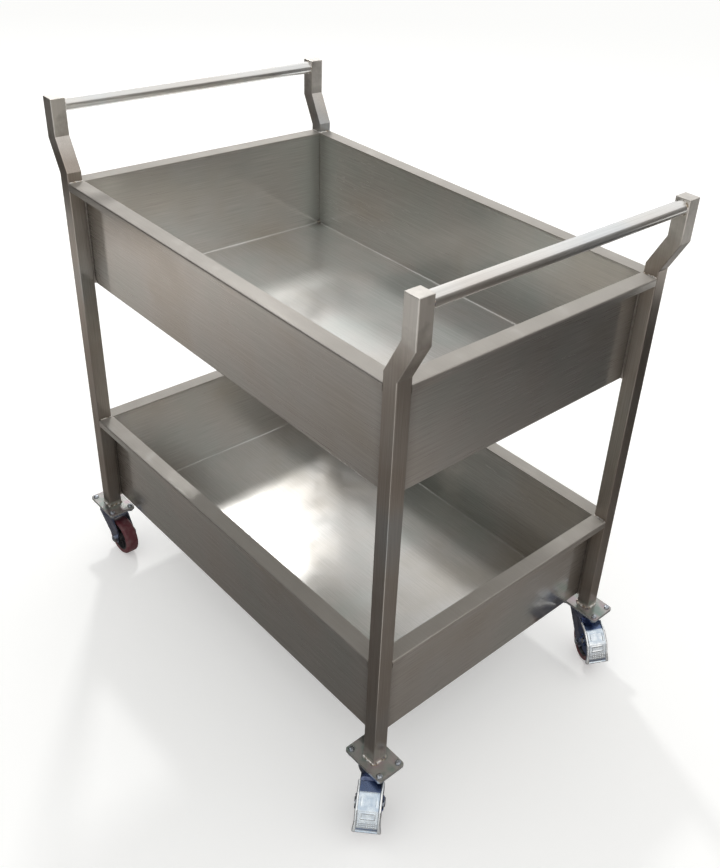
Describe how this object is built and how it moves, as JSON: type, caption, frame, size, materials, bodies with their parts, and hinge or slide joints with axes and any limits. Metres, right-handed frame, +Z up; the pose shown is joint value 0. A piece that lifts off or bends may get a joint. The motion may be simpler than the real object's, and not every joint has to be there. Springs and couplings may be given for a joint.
{
  "type": "serving trolley",
  "caption": "Stainless serving trolley with deep folded trays on cranked square legs, tube handles at both ends and plate casters, those at one end with brake pedals.",
  "frame": {"origin": "on the floor, midway between the four legs, which is the rest plane of the wheels", "axes": "+X along the length, towards the end with the braked casters; +Y across the width; +Z up"},
  "size_m": [0.931, 0.6384, 0.91],
  "materials": {
    "tray_steel": "satin stainless sheet, folded, with brighter ground edges",
    "leg_steel": "satin stainless square tube, ground at the mitres",
    "handle_steel": "polished stainless round tube",
    "foot_plate_steel": "cut stainless plate, dulled",
    "zinc_pressing": "bright blue-white zinc plate on pressed steel",
    "zinc_fastener": "bright zinc plated bolts, nuts and rivets",
    "bearing_steel": "hardened and polished steel",
    "wheel_tyre": "maroon moulded polyurethane",
    "wheel_core": "dark moulded nylon",
    "brake_rubber": "black moulded rubber"
  },
  "bodies": {
    "trolley_frame": {"upper_tray": "tray_steel", "lower_tray": "tray_steel", "handle_right": "handle_steel", "handle_left": "handle_steel", "leg_caps": "leg_steel", "plate_bolts": "zinc_fastener", "plate_nuts": "zinc_fastener", "front_right_leg": "leg_steel", "front_right_foot_plate": "foot_plate_steel", "back_right_leg": "leg_steel", "back_right_foot_plate": "foot_plate_steel", "front_left_leg": "leg_steel", "front_left_foot_plate": "foot_plate_steel", "back_left_leg": "leg_steel", "back_left_foot_plate": "foot_plate_steel", "front_right_caster_plate": "zinc_pressing", "front_right_kingpin": "zinc_fastener", "back_right_caster_plate": "zinc_pressing", "back_right_kingpin": "zinc_fastener", "front_left_caster_plate": "zinc_pressing", "front_left_kingpin": "zinc_fastener", "back_left_caster_plate": "zinc_pressing", "back_left_kingpin": "zinc_fastener"},
    "front_right_swivel": {"front_right_fork": "zinc_pressing", "front_right_swivel_balls": "bearing_steel", "front_right_axle_bolt": "zinc_fastener", "front_right_axle_nut": "zinc_fastener", "front_right_axle_bush": "bearing_steel", "front_right_pedal_rivets": "zinc_fastener"},
    "front_right_wheel": {"front_right_wheel_core": "wheel_core", "front_right_tyre": "wheel_tyre"},
    "front_right_pedal": {"front_right_brake_pedal": "zinc_pressing", "front_right_brake_shoe": "brake_rubber"},
    "back_right_swivel": {"back_right_fork": "zinc_pressing", "back_right_swivel_balls": "bearing_steel", "back_right_axle_bolt": "zinc_fastener", "back_right_axle_nut": "zinc_fastener", "back_right_axle_bush": "bearing_steel", "back_right_pedal_rivets": "zinc_fastener"},
    "back_right_wheel": {"back_right_wheel_core": "wheel_core", "back_right_tyre": "wheel_tyre"},
    "back_right_pedal": {"back_right_brake_pedal": "zinc_pressing", "back_right_brake_shoe": "brake_rubber"},
    "front_left_swivel": {"front_left_fork": "zinc_pressing", "front_left_swivel_balls": "bearing_steel", "front_left_axle_bolt": "zinc_fastener", "front_left_axle_nut": "zinc_fastener", "front_left_axle_bush": "bearing_steel"},
    "front_left_wheel": {"front_left_wheel_core": "wheel_core", "front_left_tyre": "wheel_tyre"},
    "back_left_swivel": {"back_left_fork": "zinc_pressing", "back_left_swivel_balls": "bearing_steel", "back_left_axle_bolt": "zinc_fastener", "back_left_axle_nut": "zinc_fastener", "back_left_axle_bush": "bearing_steel"},
    "back_left_wheel": {"back_left_wheel_core": "wheel_core", "back_left_tyre": "wheel_tyre"}
  },
  "joints": [
    {"name": "front_right_swivel_turn", "type": "hinge", "parent": "trolley_frame", "child": "front_right_swivel", "pos_m": [0.4033, -0.2618, 0.05], "axis": [0, 0, 1], "continuous": true},
    {"name": "front_right_wheel_spin", "type": "hinge", "parent": "front_right_swivel", "child": "front_right_wheel", "pos_m": [0.42471, -0.28558, 0.0375], "axis": [0.7431, 0.6691, 0], "continuous": true},
    {"name": "front_right_pedal_press", "type": "hinge", "parent": "front_right_swivel", "child": "front_right_pedal", "pos_m": [0.4381, -0.30044, 0.06], "axis": [0.7431, 0.6691, 0], "range_deg": [0, 6]},
    {"name": "back_right_swivel_turn", "type": "hinge", "parent": "trolley_frame", "child": "back_right_swivel", "pos_m": [0.4033, 0.2618, 0.05], "axis": [0, 0, 1], "continuous": true},
    {"name": "back_right_wheel_spin", "type": "hinge", "parent": "back_right_swivel", "child": "back_right_wheel", "pos_m": [0.43129, 0.24629, 0.0375], "axis": [0.4848, 0.8746, 0], "continuous": true},
    {"name": "back_right_pedal_press", "type": "hinge", "parent": "back_right_swivel", "child": "back_right_pedal", "pos_m": [0.44878, 0.23659, 0.06], "axis": [0.4848, 0.8746, 0], "range_deg": [0, 6]},
    {"name": "front_left_swivel_turn", "type": "hinge", "parent": "trolley_frame", "child": "front_left_swivel", "pos_m": [-0.4033, -0.2618, 0.05], "axis": [0, 0, 1], "continuous": true},
    {"name": "front_left_wheel_spin", "type": "hinge", "parent": "front_left_swivel", "child": "front_left_wheel", "pos_m": [-0.3713, -0.2618, 0.0375], "axis": [0, 1, 0], "continuous": true},
    {"name": "back_left_swivel_turn", "type": "hinge", "parent": "trolley_frame", "child": "back_left_swivel", "pos_m": [-0.4033, 0.2618, 0.05], "axis": [0, 0, 1], "continuous": true},
    {"name": "back_left_wheel_spin", "type": "hinge", "parent": "back_left_swivel", "child": "back_left_wheel", "pos_m": [-0.37407, 0.27482, 0.0375], "axis": [-0.4067, 0.9135, 0], "continuous": true}
  ]
}
